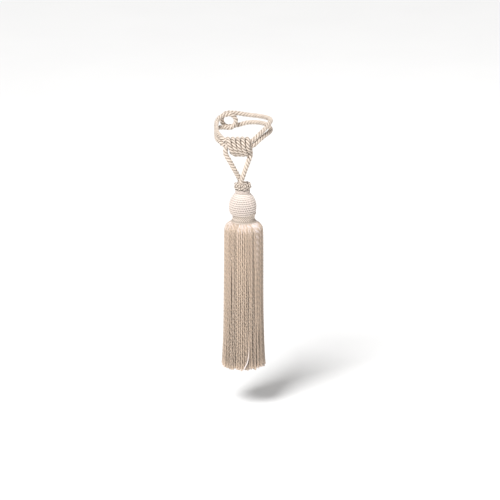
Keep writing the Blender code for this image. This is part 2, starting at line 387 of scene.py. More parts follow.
# ------------------------------------------------------------------------------------ yarn meshes
@dataclass
class YarnMesh:
    """Strands of yarn that are gathered into one mesh.

    Each strand is swept round its own path. The mesh keeps a UV map in metres along the strand,
    an attribute of painted shade (1 on the strand's outer face, less in its grooves and on its
    sides) and a tone attribute for each strand.
    """

    name: str
    finish: YarnFinish
    slot: str
    points: list[Array] = field(default_factory=list)
    faces: list[Array] = field(default_factory=list)
    caps: list[list[int]] = field(default_factory=list)
    uvs: list[Array] = field(default_factory=list)
    painted_groove_shades: list[Array] = field(default_factory=list)
    tones: list[Array] = field(default_factory=list)
    size: int = 0

    def strand(self, path: Array, outward: Array, radius: Array | float, sides: int,
               tone: Array | float = 0.5, closed: bool = False, lobes: int = 0,
               lobe_depth: float = 0.0, lobe_turns: float = 0.0,
               groove_span: tuple[float, float] = (-0.9, 0.7),
               showing: Array | float = 1.0) -> None:
        """Sweep one strand.

        Args:
            path: The strand's middle line.
            outward: The direction, at each point, in which the strand shows.
            radius: Its radius, one for all or one at each point.
            sides: Points round the strand.
            tone: Lightness, 0 to 1 or past it, one for all or at each point; some pieces paint
                light in it.
            closed: Whether its end joins its start.
            lobes: Yarns that show as ridges on the strand.
            lobe_depth: Depth of the valleys between them, as a share of the radius.
            lobe_turns: Turns of the ridges in each metre.
            groove_span: The outward shares between which the painted shade gives way to the face
                colour.
            showing: How much of the face colour is kept against the painted shade, one for all or
                at each point.
        """
        count = len(path)
        along = tangents(path, closed)
        side = unit(np.cross(along, outward))
        front = np.cross(side, along)
        travelled = distance_along(path)
        angle = TAU * np.arange(sides) / sides
        radius = np.broadcast_to(np.asarray(radius, float), (count,))[:, None]
        if lobes:
            phase = lobes * (angle[None, :] - TAU * lobe_turns * travelled[:, None]) / 2.0
            radius = radius * (1.0 - lobe_depth * (1.0 - np.abs(np.cos(phase))))
        else:
            radius = np.repeat(radius, sides, axis=1)
        offset = (radius[..., None] * (np.cos(angle)[None, :, None] * front[:, None, :]
                                       + np.sin(angle)[None, :, None] * side[:, None, :]))
        # painted shade: darker on the strand's sides and in its grooves, and where showing is low
        low, high = groove_span
        painted_groove_shade = np.clip((np.cos(angle) - low) / (high - low), 0.0, 1.0)
        painted_groove_shade = np.broadcast_to(painted_groove_shade ** PAINTED_SHADE_CURVE, (count, sides))
        if lobes:
            painted_groove_shade = painted_groove_shade * (1.0 - VALLEY_SHADE + VALLEY_SHADE * np.abs(np.cos(phase)))
        painted_groove_shade = painted_groove_shade * np.broadcast_to(showing, (count,))[:, None]
        ring = np.arange(sides)
        after = (ring + 1) % sides
        first = np.arange(count if closed else count - 1)[:, None]
        second = (first + 1) % count
        quads = np.stack([first * sides + ring, second * sides + ring,
                          second * sides + after, first * sides + after], axis=-1).reshape(-1, 4)
        ahead = np.append(travelled, travelled[-1] + np.linalg.norm(path[0] - path[-1]))
        u0, u1 = ahead[first], ahead[first + 1]
        v0, v1 = ring / sides, (ring + 1) / sides
        wide = np.broadcast_arrays(u0, u1, v0[None, :], v1[None, :])
        corners = np.stack([np.stack([wide[0], wide[2]], -1), np.stack([wide[1], wide[2]], -1),
                            np.stack([wide[1], wide[3]], -1), np.stack([wide[0], wide[3]], -1)],
                           axis=2)
        self.points.append((path[:, None, :] + offset).reshape(-1, 3))
        self.faces.append(quads + self.size)
        self.uvs.append(corners.reshape(-1, 2))
        self.painted_groove_shades.append(painted_groove_shade.reshape(-1))
        self.tones.append(np.repeat(np.broadcast_to(tone, (count,)), sides))
        if not closed:
            last = self.size + (count - 1) * sides
            self.caps.append([self.size + i for i in range(sides)])
            self.caps.append([last + i for i in reversed(range(sides))])
        self.size += count * sides

    def build(self, node: str = "") -> bpy.types.Object:
        """Make the gathered strands one object.

        Args:
            node: The node of the frame that it stands for, if any.

        Returns:
            The object, riding on the tieback's body.
        """
        quads = np.vstack(self.faces)
        mesh = bpy.data.meshes.new(self.name)
        mesh.from_pydata(np.vstack(self.points), [], quads.tolist() + self.caps)
        layer = mesh.uv_layers.new(name="strand")
        cap_corners = sum(len(cap) for cap in self.caps)
        corners = np.vstack(self.uvs + [np.zeros((cap_corners, 2))]).astype(np.float32)
        layer.data.foreach_set("uv", corners.ravel())
        for label, values in (("painted_groove_shade", self.painted_groove_shades), ("tone", self.tones)):
            stored = mesh.attributes.new(label, "FLOAT", "POINT")
            stored.data.foreach_set("value", np.concatenate(values).astype(np.float32))
        mesh.shade_smooth()
        mesh.materials.append(self.finish.material())
        piece = bpy.data.objects.new(self.name, mesh)
        bpy.context.collection.objects.link(piece)
        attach(piece, BODY)
        if node:
            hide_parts(node)
        return piece


@dataclass(frozen=True)
class TwistedCord:
    """A cord of several strands laid round each other.

    A lay above zero turns like a right-handed screw, and one below zero like a left-handed one.
    """

    radius: float
    strands: int
    lay: float
    sides: int = 18
    yarns: int = 6
    yarn_depth: float = 0.16
    yarn_turns: float = 80.0
    groove_span: tuple[float, float] = (-0.45, 0.9)
    swell: float = 1.06                 # how far the strands press into each other
    packed: tuple[float, float, float] = (0.58, 0.85, 0.12)    # painted shade where strands turn away from the way the cord faces: middle, gain and least showing

    @property
    def strand_radius(self) -> float:
        """Radius of one strand, where the strands touch each other."""
        return self.radius / (1.0 + 1.0 / math.sin(math.pi / self.strands))

    def lay_along(self, mesh: YarnMesh, path: Array, tones: tuple[float, ...] = (0.5,),
                  closed: bool = False, frames: tuple[Array, Array] | None = None,
                  facing: Array | None = None) -> None:
        """Add the cord's strands to a mesh.

        Args:
            mesh: The mesh that gathers them.
            path: The cord's middle line, closely spaced.
            tones: Lightness of the strands in turn.
            closed: Whether the cord's end joins its start.
            frames: Two directions across the path, where it has its own.
            facing: The way the cord faces, where it is packed against others; strands turned from
                it get painted shade.
        """
        first, second = frames or steady_frame(path)
        travelled = distance_along(path)
        if closed:
            whole = travelled[-1] + np.linalg.norm(path[0] - path[-1])
            turns = max(1, round(whole / abs(self.lay))) * math.copysign(1.0, self.lay)
            angle = TAU * turns * travelled / whole
        else:
            angle = TAU * travelled / self.lay
        reach = self.radius - self.strand_radius
        for strand in range(self.strands):
            turned = (angle + TAU * strand / self.strands)[:, None]
            outward = np.cos(turned) * first + np.sin(turned) * second
            # painted shade: strands turned away from the way the cord faces keep less of their face
            # colour
            showing = 1.0
            if facing is not None:
                middle, gain, least = self.packed
                showing = np.clip(middle + gain * np.sum(outward * facing, axis=1), least, 1.0)
            mesh.strand(path + outward * reach, outward, self.strand_radius * self.swell,
                        self.sides, tones[strand % len(tones)], closed, self.yarns,
                        self.yarn_depth, -math.copysign(self.yarn_turns, self.lay),
                        self.groove_span, showing)


ROPE = TwistedCord(radius=3.3 * MM, strands=3, lay=-14.5 * MM)
SLACK_ROPE = TwistedCord(radius=3.6 * MM, strands=3, lay=-14.5 * MM)
WOUND_ROPE = TwistedCord(radius=3.15 * MM, strands=3, lay=-14.0 * MM)
ROPE_STEP = 0.62 * MM
STRAND_TONES = (0.35, 0.6, 0.8)


# ------------------------------------------------------------------------------------ measurements
@dataclass(frozen=True)
class Upright:
    """The place of a round piece on the tassel's upright axis."""

    x: float
    y: float
    radius: float
    top: float
    bottom: float

    @classmethod
    def of(cls, node: str) -> "Upright":
        """Return the axis, radius, top and bottom of a node of the frame."""
        low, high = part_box(node)
        return cls((low.x + high.x) / 2, (low.y + high.y) / 2, (high.x - low.x) / 2, high.z, low.z)

    def ring(self, angle: Array, radius: Array | float, z: Array | float) -> Array:
        """Return points about the axis, one in each row, from angles off +X, radius and height."""
        return np.column_stack([self.x + radius * np.cos(angle), self.y + radius * np.sin(angle),
                                np.broadcast_to(z, angle.shape)])

    @staticmethod
    def outward(angle: Array, rise: Array | float = 0.0) -> Array:
        """Return directions away from the axis, tipped up by rise."""
        level = np.column_stack([np.cos(angle), np.sin(angle), np.broadcast_to(rise, angle.shape)])
        return unit(level)


# ------------------------------------------------------------------------------------ arms and legs
def lay_rope(node: str, cord: TwistedCord, line: Array) -> bpy.types.Object:
    """Args:
        node: The rope's node in the frame.
        cord: How the rope is made.
        line: Its middle line, from its end in the knot.

    Returns:
        The rope.
    """
    mesh = YarnMesh(f"{node}_rope", ROPE_YARN, "rope")
    cord.lay_along(mesh, line, STRAND_TONES)
    piece = mesh.build(node)
    2 * cord.radius
    return piece


@dataclass
class Arms:
    """The two doubled ropes between the knot and the hook, each with its eye.

    Routes are given points of an arm's middle line in millimetres from the hook, each with
    half the distance between its two ropes.
    """

    eye_radius: float = 10.0 * MM
    eye_step: float = 3.7 * MM          # each eye stands this far from the hook's middle, along Y
    eye_points: int = 7                 # points round the bend of an eye
    right: tuple = ((24.0, -74.0, -16.0, 3.0), (33.6, -72.2, -12.0, 3.4), (37.6, -70.4, -9.0, 3.4),
                    (43.4, -67.0, -4.4, 3.6), (50.4, -60.4, 0.2, 4.6), (56.4, -49.0, 3.2, 6.4),
                    (58.4, -35.0, 4.0, 6.6), (53.4, -19.0, 4.0, 5.2), (41.0, -6.0, 3.2, 4.8),
                    (26.0, 1.2, 2.0, 5.8), (12.0, 3.4, 0.7, 8.8))
    left: tuple = ((2.0, -74.0, -13.0, 3.0), (-7.4, -71.4, -10.6, 3.6), (-10.6, -67.4, -8.6, 3.8),
                   (-13.8, -59.5, -7.6, 4.4), (-16.2, -47.0, -8.2, 4.7), (-17.2, -32.0, -7.2, 4.7),
                   (-17.4, -20.0, -4.8, 4.7), (-15.6, -11.0, -2.6, 5.8), (-9.6, -5.0, -0.9, 8.2))

    def path(self, route: tuple, eye_y: float, side: int) -> Array:
        """Work out one arm's line: out along the upper rope, round the hook and back below.

        Args:
            route: The arm's middle line with its half widths.
            eye_y: The eye's place along the hook.
            side: +1 where the eye's bend lies towards +X, -1 towards -X.

        Returns:
            The rope's middle line.
        """
        eye = Vector((0.0, eye_y, 0.0))
        middle = [Vector(point[:3]) * MM for point in route] + [eye]
        halves = [point[3] * MM for point in route] + [self.eye_radius]
        upper, lower = [], []
        for i, (place, half) in enumerate(zip(middle, halves)):
            along = (middle[min(i + 1, len(middle) - 1)] - middle[max(i - 1, 0)]).normalized()
            across = (Vector((0, 0, 1)) - along * along.z).normalized()
            upper.append(place + across * half)
            lower.append(place - across * half)
        upper[-1] = eye + Vector((0, 0, self.eye_radius))
        lower[-1] = eye - Vector((0, 0, self.eye_radius))
        turns = [math.pi * i / (self.eye_points + 1) for i in range(1, self.eye_points + 1)]
        bend = [eye + self.eye_radius * Vector((side * math.sin(t), 0, math.cos(t)))
                for t in turns]
        return smooth_path(np.array(upper + bend + lower[::-1]), ROPE_STEP)

    def build(self) -> list[bpy.types.Object]:
        """Lay both arms and return them."""
        return [lay_rope(node, ROPE, self.path(route, -side * self.eye_step, side))
                for node, route, side in (("arm_right", self.right, -1),
                                          ("arm_left", self.left, 1))]


@dataclass
class Legs:
    """The two ropes from the knot's ends down into the ruff.

    Routes are given points of each rope's middle line in millimetres from the knot.
    """

    left: tuple = ((-9.0, 0.6, 2.0), (-13.2, 0.5, 1.6), (-16.2, 0.0, -0.6), (-17.0, -0.8, -5.0),
                   (-16.9, -1.3, -9.0), (-15.9, -1.8, -12.2), (-13.4, -2.6, -16.6),
                   (-9.8, -2.8, -22.6), (-5.2, -1.0, -31.8), (0.1, 2.4, -43.0),
                   (3.4, 3.8, -50.0), (5.6, 3.9, -56.0), (6.4, 3.9, -60.4))
    right: tuple = ((9.0, -3.0, -1.0), (13.2, -2.0, -0.6), (16.4, -1.2, -2.4), (17.6, -1.2, -6.0),
                    (17.6, -1.6, -9.6), (17.2, -3.0, -12.6), (15.9, -4.4, -16.4),
                    (13.2, -5.0, -24.2), (8.5, -4.6, -38.0), (5.6, -4.1, -46.6),
                    (4.9, -3.9, -51.0), (5.6, -3.9, -56.0), (6.4, -3.9, -60.4))

    def build(self, knot: Array) -> list[bpy.types.Object]:
        """Lay both legs from the wound knot's middle and return them."""
        return [lay_rope(node, SLACK_ROPE, smooth_path(knot + np.array(route) * MM, ROPE_STEP))
                for node, route in (("leg_left", self.left), ("leg_right", self.right))]


@dataclass
class Knot:
    """The wound knot: turns of rope that slant to the right down the front."""

    turns: float = 4.92
    start_turn: float = -0.56           # the first top pass is at turn 0
    slant: float = 6.4 * MM             # how far each turn moves right on its way down the front
    bunching: float = 0.22              # how much closer the turns are underneath
    painted_underside_shade: float = 0.30             # painted shade: how much darker the knot is below than above
    passes: float = 4.0                 # turns between the first and the last top pass
    lag: float = 0.35                   # how late in a turn the slant comes, in radians
    tail: float = 0.30                  # turns over which each end is drawn in
    tail_reach: float = 0.72            # share of the full reach that an end is drawn in to
    core_reach: float = 0.82            # the dark filling's radius, as a share of the rope's reach; the filling is painted shade between the turns
    core_length: float = 0.84           # its length, as a share of the passes' length

    def __post_init__(self) -> None:
        """Measure the knot: its middle, and its rope's reach along and about its axis."""
        low, high = (np.array(corner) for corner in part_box("wound_knot"))
        self.middle = (low + high) / 2
        self.length = high[0] - low[0] - 2 * WOUND_ROPE.radius
        self.radius = (high[1] - low[1]) / 2 - WOUND_ROPE.radius

    def path(self) -> Array:
        """Work out the rope's line.

        Returns:
            The rope's middle line.
        """
        turn = np.linspace(self.start_turn, self.start_turn + self.turns, 900)
        angle = TAU * turn
        below = 0.5 - 0.5 * np.cos(angle)
        lean = 0.5 - 0.5 * np.cos(angle - self.lag)
        spread = (turn / self.passes - 0.5) * self.length * (1.0 - self.bunching * below)
        x = spread + self.slant * lean * below
        ends = np.clip(np.minimum(turn - turn[0], turn[-1] - turn) / self.tail, 0.0, 1.0)
        reach = self.radius * (self.tail_reach + (1.0 - self.tail_reach) * ends)
        line = np.column_stack([x, -reach * np.sin(angle), reach * np.cos(angle)])
        return even_path(self.middle + line, ROPE_STEP)

    def build(self) -> list[bpy.types.Object]:
        """Wind the knot.

        Returns:
            The knot.
        """
        line = self.path()
        mesh = YarnMesh("wound_knot_rope", ROPE_YARN, "rope")
        # painted shade in the valleys between the turns and on the knot's underside
        facing = line - self.middle
        facing[:, 0] = 0.0
        under = np.array([0.0, 0.0, self.painted_underside_shade])
        WOUND_ROPE.lay_along(mesh, line, STRAND_TONES, facing=unit(facing) + under)
        # painted shade: a filling in the shade colour that shows between the turns
        core = np.zeros((12, 3))
        core[:, 0] = np.linspace(-0.5, 0.5, len(core)) * self.core_length * self.length
        mesh.strand(self.middle + core, np.tile([0.0, 0.0, 1.0], (len(core), 1)),
                    self.radius * self.core_reach, 20, 0.1, groove_span=(3.0, 4.0))
        return [mesh.build("wound_knot")]


# ------------------------------------------------------------------------------------- tassel head
@dataclass
class Ruff:
    """The braided ruff: one cord woven over and under itself round the legs."""

    leads: int = 3
    bights: int = 8
    cord: TwistedCord = TwistedCord(radius=1.55 * MM, strands=2, lay=-6.4 * MM, sides=10, yarns=0,
                                    groove_span=(-0.3, 0.95))
    weave: float = 1.2 * MM             # how far a pass stands over or under its neighbour
    draw_in: float = 0.6 * MM           # how much the top leans in towards the legs
    lining: float = 1.35 * MM           # radius of the cord that lines it
    lining_inset: float = 1.5 * MM      # how far inside the weave the lining lies

    def build(self) -> list[bpy.types.Object]:
        """Weave the ruff.

        Returns:
            The ruff.
        """
        place = Upright.of("braided_ruff")
        half = (place.top - place.bottom) / 2 - self.cord.radius
        runs = 2 * self.bights
        run = np.linspace(0.0, runs, runs * 60, endpoint=False)
        share = run % 1.0
        down = np.where(run % 2.0 < 1.0, 1.0, -1.0)
        height = down * np.cos(math.pi * share) * half
        knots = [0.0] + [k / self.leads for k in range(1, self.leads)] + [1.0]
        phases = [0.5] + list(range(1, self.leads)) + [self.leads - 0.5]
        over = np.cos(math.pi * (np.floor(run) * (self.leads - 1)
                                 + np.interp(share, knots, phases)))
        angle = run * math.pi * self.leads / self.bights
        middle_r = place.radius - self.cord.radius - 0.5 * self.weave
        radius = middle_r + self.weave * over - self.draw_in * (height / half) ** 2 * (height > 0)
        z = (place.top + place.bottom) / 2 + height
        line = place.ring(angle, radius, z)
        mesh = YarnMesh("braided_ruff_cord", RUFF_YARN, "braid")
        outward = place.outward(angle)
        along = tangents(line, True)
        first = square_to(along, outward)
        self.cord.lay_along(mesh, line, (0.4, 0.8), True, (first, np.cross(along, first)))
        self._lining(mesh, place, middle_r)
        return [mesh.build("braided_ruff")]

    def _lining(self, mesh: YarnMesh, place: Upright, radius: float) -> None:
        """Add the cord that lines the ruff and is wound in under its top, round the legs; the
        lining rings are painted shade, dark in the gaps of the weave.

        Args:
            mesh: The mesh that gathers it.
            place: The ruff's place.
            radius: The weave's middle radius.
        """
        angle = np.linspace(0.0, TAU, 60, endpoint=False)
        # painted shade: rings in the shade colour behind the weave, showing dark through its gaps
        for z in np.linspace(place.bottom + self.lining, place.top - 2.4 * MM, 4):
            mesh.strand(place.ring(angle, radius - self.lining_inset, z), place.outward(angle),
                        self.lining, 8, 0.1, True, groove_span=(0.2, 2.4))
        for wound in np.arange(0.8, 7.0, 2.2) * MM:
            ring = place.ring(angle, wound, place.top - 1.9 * MM + 0.10 * wound)
            mesh.strand(ring, np.tile([0.0, 0.0, 1.0], (len(angle), 1)), self.lining, 8, 0.7,
                        True, groove_span=(-0.6, 1.1))


@dataclass
class Neck:
    """The bound neck: thread wound tightly round the top of the ball."""

    rounds: int = 5
    lay: float = 3.4 * MM               # one turn of the thread's two plies, each way in turn
    press: float = 1.12                 # how far the rounds press into each other
    swell: float = 0.3 * MM             # how much the middle stands out

    def build(self) -> list[bpy.types.Object]:
        """Wind the neck.

        Returns:
            The neck.
        """
        place = Upright.of("bound_neck")
        thread = (place.top - place.bottom) / self.rounds / 2
        angle = np.linspace(0.0, TAU, 96, endpoint=False)
        mesh = YarnMesh("bound_neck_thread", NET_YARN, "netting")
        for i in range(self.rounds):
            z = place.top - thread * (2 * i + 1)
            swell = self.swell * math.sin(math.pi * (i + 0.5) / self.rounds)
            cord = TwistedCord(thread * self.press, 2, -self.lay if i % 2 else self.lay, 6, 0)
            line = even_ring(place.ring(angle, place.radius - thread + swell, z), 0.6 * MM)
            cord.lay_along(mesh, line, (1.0, 1.2), True, ring_frames(place, line))
        inner = place.ring(angle, place.radius - 2.2 * thread, (place.top + place.bottom) / 2)
        mesh.strand(inner, place.outward(angle), 2.0 * thread, 8, 0.2, True)
        return [mesh.build("bound_neck")]


def even_ring(points: Array, step: float) -> Array:
    """Return even points on a closed line, a step apart, the first point not repeated."""
    return even_path(np.vstack([points, points[:1]]), step)[:-1]


def ring_frames(place: Upright, points: Array) -> tuple[Array, Array]:
    """Return directions across a ring that stay square to the tassel's axis.

    Args:
        place: The axis.
        points: The ring.

    Returns:
        The way out from the axis and the way across it, at each point.
    """
    along = tangents(points, True)
    out = points - np.array([place.x, place.y, 0.0])
    out[:, 2] = 0.0
    first = square_to(along, out)
    return first, np.cross(along, first)


@dataclass
class Ball:
    """The ball head: a smooth mould, dark in itself and darkened further as painted shade in the
    net's holes, under a fine net of looped thread.
    """

    cells: int = 39                     # loops in one round of the net
    rounds: int = 10
    thread: float = 0.95 * MM           # radius of the doubled thread
    ridge_turns: float = 320.0          # turns of its two yarns in each metre
    loop: float = 0.98 * MM             # how far a loop dips below and rises above its round
    lift: float = 0.30 * MM             # how far a round stands up where it hooks the last one
    cut_radius: float = 17.8 * MM       # the ball's radius where the collar starts
    tucked: float = 1.0 * MM            # how far the mould goes on under the neck and the collar
    net_step: float = 0.5 * MM          # distance between two points of the thread

    def __post_init__(self) -> None:
        """Measure the ball from the neck to the collar: its middle and the net's two ends."""
        self.place = Upright.of("netted_ball")
        upper = math.sqrt(1 - (Upright.of("bound_neck").radius / self.place.radius) ** 2)
        lower = math.sqrt(1 - (self.cut_radius / self.place.radius) ** 2)
        self.tall = (self.place.top - self.place.bottom) / (upper + lower)
        self.centre = self.place.top - self.tall * upper
        self.start, self.end = math.acos(upper), math.pi - math.acos(lower)

    def build(self) -> list[bpy.types.Object]:
        """Make the mould and the net, and return them."""
        return [self._mould(), self._net()]

    def _mould(self) -> bpy.types.Object:
        """Model the covered mould and trim it where the neck and the collar hide it.

        Returns:
            The mould.
        """
        place, tall = self.place, self.tall
        inset = 2.0 * self.thread
        wide = place.radius - inset
        bpy.ops.object.select_all(action="DESELECT")
        bpy.ops.mesh.primitive_uv_sphere_add(segments=64, ring_count=40, radius=1.0,
                                             location=(place.x, place.y, self.centre),
                                             scale=(wide, wide, tall - inset))
        mould = bpy.context.object
        mould.name = "netted_ball_mould"
        bpy.ops.object.transform_apply(location=True, rotation=True, scale=True)
        bpy.ops.object.mode_set(mode="EDIT")
        for height, keeps_below in ((place.top + self.tucked, True),
                                    (place.bottom - self.tucked, False)):
            bpy.ops.mesh.select_all(action="SELECT")
            bpy.ops.mesh.bisect(plane_co=(place.x, place.y, height), plane_no=(0, 0, 1),
                                use_fill=True, clear_outer=keeps_below,
                                clear_inner=not keeps_below)
        bpy.ops.object.mode_set(mode="OBJECT")
        bpy.ops.object.shade_smooth_by_angle(angle=math.radians(40))
        middling = np.full(len(mould.data.vertices), 0.5, np.float32)
        for label in ("painted_groove_shade", "tone"):
            stored = mould.data.attributes.new(label, "FLOAT", "POINT")
            stored.data.foreach_set("value", middling)
        mould.data.uv_layers[0].name = "strand"
        mould.data.materials.append(DARK_MOULD_AND_HOLE_SHADE.material())
        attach(mould, BODY)
        return mould

    def _net(self) -> bpy.types.Object:
        """Loop the net round by round from the neck to the collar.

        Returns:
            The net.
        """
        place, tall = self.place, self.tall
        mesh = YarnMesh("netted_ball_net", NET_YARN, "netting")
        angle = np.linspace(0.0, TAU, self.cells * 8, endpoint=False)
        step = (self.end - self.start + 0.8 * self.thread / tall) / self.rounds
        for i in range(self.rounds + 1):
            wave = np.cos(self.cells * angle + math.pi * (i % 2))
            slope = self.start + step * i - self.loop / tall * wave
            raised = self.lift * wave - self.thread
            line = place.ring(angle, (place.radius + raised) * np.sin(slope),
                              self.centre + (tall + raised) * np.cos(slope))
            line = even_ring(line, self.net_step)
            out = line - np.array([place.x, place.y, self.centre])
            mesh.strand(line, square_to(tangents(line, True), out), self.thread, 12, 0.35, True,
                        4, 0.16, self.ridge_turns / 4, groove_span=(-0.3, 0.7))
        return mesh.build("netted_ball")


@dataclass
class Collar:
    """The gimp collar: rows of laid cord over dark rings painted as shade, with a scalloped lower
    edge.
    """

    top_radius: float = 17.6 * MM
    bottom_radius: float = 16.2 * MM
    waist: float = 1.2 * MM             # how far the middle is drawn in
    yarns: int = 36                     # yarns that lean each way
    rows: int = 5                       # crossings on the way down
    row_height: float = 1.68 * MM
    yarn: float = 0.60 * MM             # radius of one yarn
    weave: float = 0.66 * MM            # how far a yarn stands over or under its neighbour
    loop_drop: float = 3.9 * MM         # how far the loops hang below the braid
    loop_reach: float = 2.4 * MM        # how far they lean out over the skirt
    lean_out: float = 1.4               # how late in their fall they do
    shade_bands: int = 6                      # rings that line the braid, painted in the shade colour as shade behind it
    shade_band: float = 1.7 * MM              # radius of one of them
    shade_band_inset: float = 2.9 * MM        # how far inside the braid they lie
    shade_backing: float = 0.95 * MM          # radius of the rings behind the loops, painted as shade
    shade_backing_inset: float = 1.9 * MM     # how far inside the loops they lie

    def radius(self, share: Array | float) -> Array | float:
        """Return the collar's radius at a share of the way down it."""
        straight = self.top_radius + (self.bottom_radius - self.top_radius) * share
        return straight - self.waist * np.sin(math.pi * share)

    def build(self) -> list[bpy.types.Object]:
        """Braid the collar and hang its loops.

        Returns:
            The collar.
        """
        place = Upright.of("gimp_collar")
        tall = place.top - place.bottom
        mesh = YarnMesh("gimp_collar_braid", GIMP_YARN, "gimp")
        for lean in (1, -1):
            for index in range(self.yarns):
                self._yarn(mesh, place, TAU * index / self.yarns, lean)
        angle = np.linspace(0.0, TAU, 72, endpoint=False)
        # painted shade: rings in the shade colour behind the braid, dark in its gaps
        for share in np.linspace(0.08, 0.94, self.shade_bands):
            ring = place.ring(angle, self.radius(share) - self.shade_band_inset,
                              place.top - tall * share)
            mesh.strand(ring, place.outward(angle), self.shade_band, 10, 0.1, True,
                        groove_span=(1.0, 3.0))
        braid = self.rows * self.row_height
        # painted shade: darkish rings behind the loops, darker near the braid
        for share in (0.25, 0.55, 0.85):
            reach = self.radius(1.0) - self.shade_backing_inset + self.loop_reach * share ** self.lean_out
            ring = place.ring(angle, reach, place.top - braid - self.loop_drop * share)
            mesh.strand(ring, place.outward(angle, 0.5), self.shade_backing, 8, 0.3 + 0.3 * share, True,
                        groove_span=(-0.4, 3.4 - 2.2 * share))
        return [mesh.build("gimp_collar")]

    def _yarn(self, mesh: YarnMesh, place: Upright, start: float, lean: int) -> None:
        """Lead one yarn down through the braid and along its side of a hanging loop.

        Args:
            mesh: The mesh that gathers them.
            place: The collar's place.
            start: The yarn's angle at the top.
            lean: +1 for a yarn that leans one way, -1 for the other.
        """
        tall = place.top - place.bottom
        spacing = TAU / self.yarns / 2
        row = np.linspace(-0.3, self.rows, self.rows * 8)
        share = np.clip(row * self.row_height / tall, 0.0, 1.0)
        over = lean * np.cos(math.pi * row)
        radius = self.radius(share) - self.yarn - self.weave + self.weave * over
        hang = np.linspace(0.0, 1.0, 9)[1:]
        turned = start + lean * spacing * np.append(row, self.rows + np.sin(hang * math.pi / 2))
        radius = np.append(radius, radius[-1] + self.loop_reach * hang ** self.lean_out)
        drop = np.append(row * self.row_height,
                         self.rows * self.row_height + self.loop_drop * hang)
        line = place.ring(turned, radius, place.top - drop)
        thick = self.yarn * np.append(np.ones(len(row)), 1.0 - 0.22 * hang)
        # painted shade: the yarn darker where it passes under, and the loops darker half way down
        # their fall
        tone = np.append(np.full(len(row), 1.0), 0.8 - 0.4 * np.sin(hang * math.pi))
        showing = np.append(0.6 + 0.4 * over, 0.9 - 0.45 * np.sin(hang * math.pi))
        mesh.strand(line, place.outward(turned, 0.1), thick, 8, tone, groove_span=(-0.2, 0.8),
                    showing=showing)


